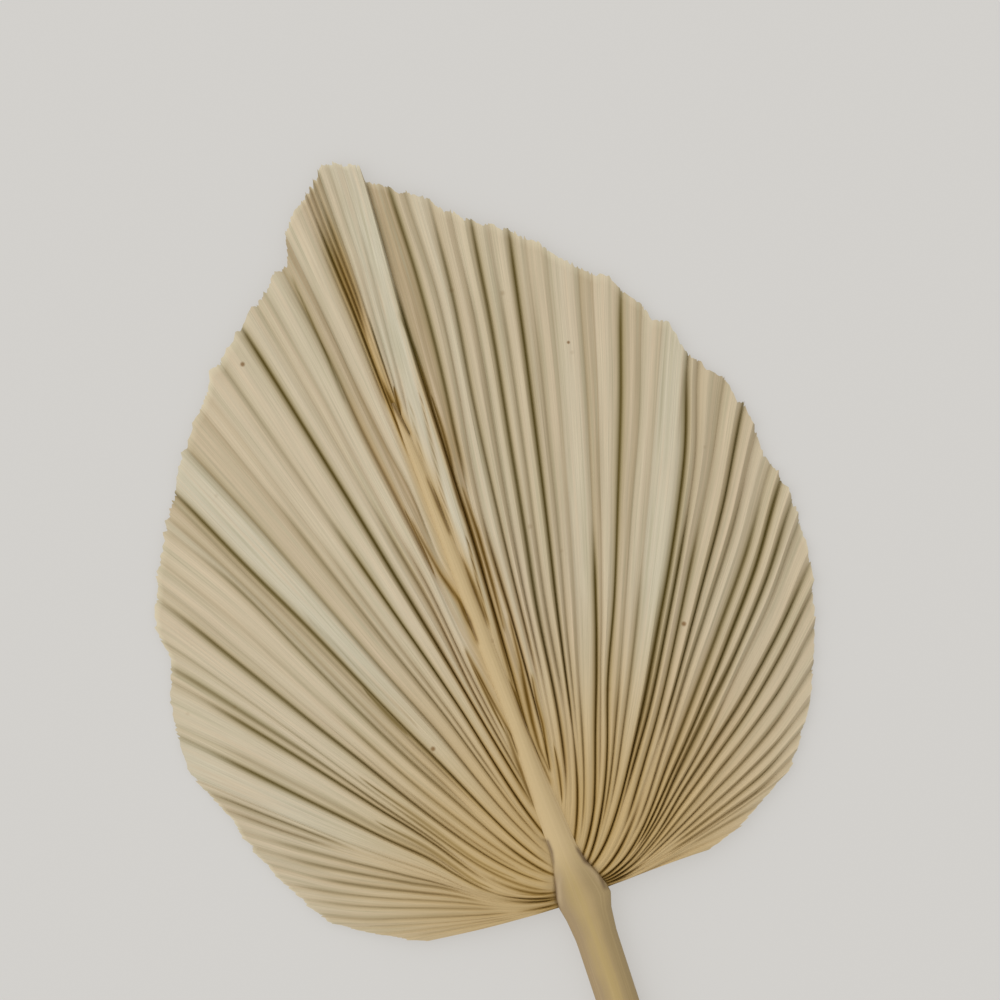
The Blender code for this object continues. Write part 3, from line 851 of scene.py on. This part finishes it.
def floor_material():
    material, _, shader = new_material("pale_floor", 0.9)
    shader.inputs["Base Color"].default_value = (*FLOOR_GREY, 1.0)
    shader.inputs["Emission Color"].default_value = (*FLOOR_GLOW, 1.0)
    shader.inputs["Emission Strength"].default_value = 1.0
    shader.inputs["Specular IOR Level"].default_value = 0.1
    return material


# ---------- Pieces ----------


def new_object(name, bm):
    mesh = bpy.data.meshes.new(name)
    bm.to_mesh(mesh)
    bm.free()
    obj = bpy.data.objects.new(name, mesh)
    bpy.context.scene.collection.objects.link(obj)
    return obj


def store(mesh, name, values):
    attribute_data = mesh.attributes.new(name, "FLOAT", "POINT").data
    attribute_data.foreach_set("value", np.ravel(values).astype(np.float32))


def column_shares(width, crease, step):
    """Places of a pleat's columns as shares of its width: close by its grooves and its crease."""
    near = [gap / width for gap in GROOVE_COLUMNS if gap < 0.3 * width]
    shares = {0.0, crease, *near, *(1 - gap for gap in near)}
    for low, high in ((0.0, crease), (crease, 1.0)):
        inner = sorted(share for share in shares | {1.0} if low <= share <= high)
        for a, b in zip(inner, inner[1:]):
            steps = math.ceil((b - a) * width / step)
            shares |= {a + (b - a) * part / steps for part in range(steps)}
    return sorted(shares)


def blade_columns(first, last):
    """A row of numbers for each column: its place, the faceted and the rounded height, cut, tone,
    sweep and its reach, then for the groove on each side its gap, darkness, start and end."""
    columns = []
    place = sum(pleat[0] for pleat in PLEATS[:first])
    for index in range(first, last):
        width, crease, height, cut, tone, dark, start, end, *sweep = PLEATS[index]
        after = PLEATS[index + 1][5:] if index + 1 < len(PLEATS) else (0, 1, 1, *LAST_SWEEP)
        fine = FINE_PLACES[0] < place < FINE_PLACES[1]
        shares = column_shares(width, crease, FINE_STEP if fine else COLUMN_STEP)
        for share in shares + [1.0] * (index == last - 1):
            face = share / crease if share < crease else (1 - share) / (1 - crease)
            bow = math.sin(math.pi * share) ** 0.7
            swept = [a + (b - a) * share for a, b in zip(sweep, after[3:])]
            columns.append((
                place + share * width, height * face, height * bow, cut * face,
                tone - FAR_FACE_PAINTED_SHADE * (share > crease), *swept,
                share * width, dark, start, end, (1 - share) * width, *after[:3],
            ))
        place += width
    return np.array(columns).T


def stretch(share, start, end):
    """A groove's strength along its rib: none before start, full to end, and less beyond."""
    opening = rise(share - start, *GROOVE_OPENING)
    return opening * (1 - CLOSED_LOSS * rise(share - end, *GROOVE_CLOSING))


def along_path(x, y, path):
    """How dark a soft line is over points x and y; path's rows are x, y, half width and darkness."""
    mask = np.zeros_like(x)
    for (ax, ay, *start), (bx, by, *end) in zip(path, path[1:]):
        length = (bx - ax) ** 2 + (by - ay) ** 2
        part = np.clip(((x - ax) * (bx - ax) + (y - ay) * (by - ay)) / length, 0, 1)
        gap = np.hypot(x - ax - part * (bx - ax), y - ay - part * (by - ay))
        width, dark = (a + (b - a) * part for a, b in zip(start, end))
        mask = np.maximum(mask, dark * hump(gap, width))
    return mask


def slits_mask(x, y, widen):
    """The slits over points x and y, wider by widen millimetres each side."""
    mask = np.zeros_like(x)
    part = np.linspace(0, 1, 22)
    for high, top, low, bottom, bow, half_width, dark in SLITS:
        place = high + (low - high) * part + bow * np.sin(np.pi * part)
        share = top + (bottom - top) * part
        taper = np.sin(np.pi * np.clip(part, 0.01, 0.99)) ** 0.7
        points = rib_points(place + bend(place, share), share, 0.0)
        path = zip(*points, (half_width + widen) * taper, dark * np.ones_like(part))
        mask = np.maximum(mask, along_path(x, y, list(path)))
    return mask


def midrib_gap(x, y):
    """How far points lie outside the midrib, in millimetres."""
    places, left, right = (np.array(STALK)[:, column] for column in range(3))
    beside = np.maximum(np.interp(y, places, left) - x, x - np.interp(y, places, right))
    beyond = np.hypot(x - (left[-1] + right[-1]) / 2, y - places[-1])
    return np.maximum(np.where(y > places[-1], beyond, beside), 0)


def lines_mask(x, y, lines, widen=0.0):
    """Several soft lines over points x and y, each wider by widen millimetres each side."""
    paths = [[(a, b, width + widen, dark) for a, b, width, dark in line] for line in lines]
    return np.maximum.reduce([along_path(x, y, path) for path in paths])


def root_ribs(place, spread, share):
    """The few thick ribs at the stalk: their rise, the grooves between them, and the painted shade
    in and beside those grooves.
    """
    grooves = np.array(ROOT_GROOVES, float)
    index = np.clip(np.searchsorted(grooves, place, side="right") - 1, 0, len(grooves) - 2)
    part = np.clip((place - grooves[index]) / (grooves[index + 1] - grooves[index]), 0, 1)
    gap = np.minimum(place - grooves[index], grooves[index + 1] - place) * spread
    fade = 1 - rise(share, *ROOT_RIB_REACH)
    arch = ROOT_RIB_HEIGHT * fade * (np.sin(np.pi * part) ** 0.8 - 0.5)
    return arch, fade * hump(gap, ROOT_GROOVE_WIDTH), fade * hump(gap, ROOT_SHADE_WIDTH)


def rib_spread(x, y, place):
    """Millimetres across the ribs for each millimetre along the margin."""
    points = np.stack([x, y])
    along, across = np.gradient(points, axis=1), np.gradient(points, place, axis=2)
    return np.abs(along[0] * across[1] - along[1] * across[0]) / np.hypot(*along)


def groove_masks(x, y, share, spread, grooves):
    """How dark the painted shade in the cracks and beside them is, and how far the folds have
    parted at the grooves.
    """
    crack, painted_shade, parted = np.zeros_like(x), np.zeros_like(x), np.ones_like(x)
    narrow = np.clip(spread * GROOVE_SQUEEZE, LEAST_SQUEEZE, 1.0)
    wide_enough = rise(spread * TYPICAL_PLEAT, 0, NARROW_GROOVE)
    for gap, dark, start, end in (grooves[:4], grooves[4:]):
        strength = dark * stretch(share, start, end) * wide_enough
        crack = np.maximum(crack, strength * hump(gap * spread, GROOVE_WIDTH * narrow))
        painted_shade = np.maximum(painted_shade, strength * hump(gap * spread, PAINTED_SHADE_WIDTH * narrow))
        merged = MERGED * hump(gap, MERGED_WIDTH)
        parted = parted * (1 - merged * (1 - rise(share - start, *FOLD_OPENING)))
    crack = np.maximum.reduce([crack, slits_mask(x, y, 0.0), lines_mask(x, y, CLEFTS)])
    shade_lines = slits_mask(x, y, SLIT_SHADE_SPREAD), lines_mask(x, y, CLEFTS, CLEFT_SHADE_SPREAD)
    return crack, np.maximum.reduce([painted_shade, *shade_lines]), parted


def fold_heights(share, spread, face, bow, relief, parted, beside):
    """Height of the folds over the blade, in millimetres."""
    near_root = 1 - rise(share, *ROOT_ROUNDING)
    growth = np.minimum(1.0, ROOT_PLEAT + PLEAT_GROWTH * share)
    growth = growth * np.minimum(1.0, spread * TYPICAL_PLEAT / NARROW_FOLD)
    left_over = np.clip(MARGIN_PLEAT + MARGIN_GAIN * (relief - USUAL_RELIEF), *MARGIN_LIMITS)
    growth = growth * relief * (1 - (1 - left_over) * rise(share, *MARGIN_EASE))
    shape = face * (1 - near_root) + ROOT_FOLD * bow * near_root - FOLD_SINK
    return beside * growth * parted * shape - MIDRIB_SINK * (1 - beside)


def warm_zones(x, y, place, share):
    """How warm the blade's colour is, and how brown the painted shade in its grooves is."""
    gap = midrib_gap(x, y)
    near_stalk = 1 - rise(np.hypot(x, y), *WARM_STALK)
    near_midrib = MIDRIB_WARMTH * (1 - rise(gap, *WARM_MIDRIB))
    braid = BRAID_WARMTH * hump(place - BRAID_PLACE, BRAID_WIDTH) * (1 - rise(share, *BRAID_END))
    warmth = WARMEST * np.maximum.reduce([near_stalk, near_midrib, braid])
    return warmth, np.maximum(warmth, 1 - rise(gap, *BROWN_GAP))


def blade_half(name, first, last, tree, material):
    """Half the blade: a smooth grid along its ribs, which the tree folds by its attributes."""
    place, face, bow, cut, tone, sweep, reach, *grooves = blade_columns(first, last)
    rng = np.random.default_rng(SEED + first)
    cut = cut + rng.normal(0, CUT_RAGGEDNESS, len(place)) + np.interp(place, *zip(*RIM))
    share = np.linspace(0, 1, ROWS)[:, None] ** ROW_CROWDING
    strayed = place + WANDER * np.sin(np.pi * share) * waves(place, share, WANDER_SCALE, SEED)
    strayed = strayed + bend(place, share) + sweep * np.clip(1 - share / reach, 0, 1) ** 2
    x, y = rib_points(strayed, share, cut * np.ones_like(share))
    spread = rib_spread(x, y, place)
    beside = rise(midrib_gap(x, y), 0, MIDRIB_CLEARANCE)
    regions, reliefs, palenesses = zip(*REGIONS)
    relief, paleness = (np.interp(place, regions, column) for column in (reliefs, palenesses))

    crack, painted_shade, parted = groove_masks(x, y, share, spread, grooves)
    arch, root_groove, root_painted_shade = root_ribs(place, spread, share)
    crack, painted_shade = np.maximum(crack, root_groove), np.maximum(painted_shade, root_painted_shade)
    left_root = (1 - rise(place, *LEFT_ROOT_PLACES)) * (1 - rise(share, *LEFT_ROOT_SHARES))
    crack = crack * (1 - LEFT_ROOT_LOSS * left_root)
    fold = fold_heights(share, spread, face, bow, relief, parted, beside) + arch * beside
    ripple = RIPPLE_HEIGHT * waves(place, share, RIPPLE_SCALE, SEED + 1)
    fold = fold + ripple * rise(share, *RIPPLE_RISE) * beside
    warmth, brown = warm_zones(x, y, place, share)

    bm = bmesh.new()
    bmesh.ops.create_grid(bm, x_segments=len(place) - 1, y_segments=ROWS - 1, size=1.0)
    sheet = new_object(name, bm)
    points = np.stack([x, y, blade_height(x, y)], axis=-1).reshape(-1, 3)
    sheet.data.vertices.foreach_set("co", to_row(points).ravel())
    values = {
        "fold": fold, "crack": crack, "painted_shade": painted_shade, "warmth": warmth, "brown": brown,
        "seam": lines_mask(x, y, SEAMS, SEAM_SPREAD), "tone": tone + paleness,
        "place": place, "share": share,
    }
    for key, value in values.items():
        store(sheet.data, key, np.broadcast_to(value, x.shape))
    return run_tree(sheet, tree, Material=material)


def stalk_piece(material):
    """The stalk and the midrib it runs on into: a loft of ovals with fine lengthwise ridges."""
    table = np.array(STALK)
    y = np.concatenate(([STALK_END], np.arange(-171.4, -20, 3.0), np.arange(-20, 26, 0.8),
                        np.arange(26, STALK[-1][0], 2.5), [STALK[-1][0]]))
    left, right, above, below, bell = (np.interp(y, table[:, 0], column) for column in table.T[1:])
    trim = np.where(y == STALK_END, CUT_TRIM, 1.0)
    turn = np.arange(STALK_SIDES) / STALK_SIDES * 2 * np.pi
    rng = np.random.default_rng(SEED + 20)
    ridges = sum(
        rng.uniform(0.3, 1.0) * np.sin(count * turn + rng.uniform(0, 6.28) + 0.01 * y[:, None])
        for count in STALK_RIDGES
    ) * RIDGE_HEIGHT
    swell = 1 + ridges / np.maximum((right - left) / 2, 1)[:, None]
    bm = bmesh.new()
    rings, places = [], []
    for row, place in enumerate(y):
        ring = bmesh.ops.create_circle(bm, segments=STALK_SIDES, radius=1.0)["verts"]
        for vert, angle, size in zip(ring, turn, swell[row]):
            across, up = math.cos(angle) * size * trim[row], math.sin(angle) * size * trim[row]
            x = (left[row] + right[row]) / 2 + (right[row] - left[row]) / 2 * across
            height = above[row] * up ** (1 + BELL_POWER * bell[row]) if up > 0 else below[row] * up
            vert.co = to_row((x, place, crown(place) + height))
            places.append((x, place))
        rings.append({edge for vert in ring for edge in vert.link_edges})
    for near, far in zip(rings, rings[1:]):
        bmesh.ops.bridge_loops(bm, edges=list(near | far))
    for end in (rings[0], rings[-1]):
        bmesh.ops.contextual_create(bm, geom=list(end))
    bmesh.ops.recalc_face_normals(bm, faces=bm.faces[:])
    obj = new_object("stalk", bm)
    x, place = np.array(places).T
    values = {
        "round": np.tile(turn / (2 * np.pi), len(y)), "side": np.tile(np.cos(turn), len(y)),
        "seam": lines_mask(x, place, SEAMS), "lip": lines_mask(x, place, LIPS),
        "crack": lines_mask(x, place, CLEFTS), "painted_shade": lines_mask(x, place, CLEFTS, STALK_SHADE_SPREAD),
        "midrib": rise(place, *MIDRIB_START),
    }
    for key, value in values.items():
        store(obj.data, key, value)
    obj.data.shade_smooth()
    obj.data.set_sharp_from_angle(angle=SHARP_STALK)
    obj.data.materials.append(material)
    return obj


def floor_piece():
    bm = bmesh.new()
    bmesh.ops.create_grid(bm, x_segments=1, y_segments=1, size=FLOOR_REACH)
    floor = new_object("floor", bm)
    floor.data.materials.append(floor_material())
    return floor


# ---------- Camera and light ----------

VIEW_ROLL = math.radians(18.3)  # the leaf leans this far to the left of the view's upright
VIEW_CENTRE = (16.6, 143.4)  # leaf millimetres under the middle of the view
VIEW_WIDTH = 0.380  # metres across the view at the leaf
VIEW_LEVEL = 4.0  # millimetres over the floor at which the view has that width
LENS, SENSOR = 120.0, 36.0
KEY_FROM = (-1.1, 0.9, 1.2)  # the direction that the key light comes from
KEY_STRENGTH, KEY_SPREAD, KEY_COLOUR = 1.36, math.radians(95), (1.0, 0.985, 0.96)
SKY_STRENGTH, SKY_COLOUR = 0.74, (1.0, 0.99, 0.97, 1.0)


def add_camera():
    data = bpy.data.cameras.new("camera")
    data.lens, data.sensor_width = LENS, SENSOR
    camera = bpy.data.objects.new("camera", data)
    bpy.context.scene.collection.objects.link(camera)
    centre = to_row((*VIEW_CENTRE, VIEW_LEVEL))
    camera.location = (centre[0], centre[1], centre[2] + VIEW_WIDTH * LENS / SENSOR)
    camera.rotation_euler = (0, 0, -VIEW_ROLL)
    bpy.context.scene.camera = camera


def add_light():
    world = bpy.data.worlds.new("studio")
    world.use_nodes = True
    sky = world.node_tree.nodes["Background"].inputs
    sky["Color"].default_value, sky["Strength"].default_value = SKY_COLOUR, SKY_STRENGTH
    bpy.context.scene.world = world
    data = bpy.data.lights.new("key", "SUN")
    data.energy, data.angle, data.color = KEY_STRENGTH, KEY_SPREAD, KEY_COLOUR
    light = bpy.data.objects.new("key", data)
    light.rotation_euler = Vector(KEY_FROM).to_track_quat("Z", "Y").to_euler()
    bpy.context.scene.collection.objects.link(light)
    bpy.context.scene.view_settings.view_transform = "Standard"


# ---------- Build ----------

fibres = fibre_group()
specks = speck_group(SPECKS)
blade_finish = blade_material(fibres, specks)
stalk_finish = stalk_material(fibres, specks)
pleating = pleating_tree()

made = [blade_half(name, first, last, pleating, blade_finish) for name, first, last in HALVES]
made.append(stalk_piece(stalk_finish))
for piece in made:
    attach(piece, BODY)
    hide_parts(NODE)

floor_piece()
add_camera()
add_light()
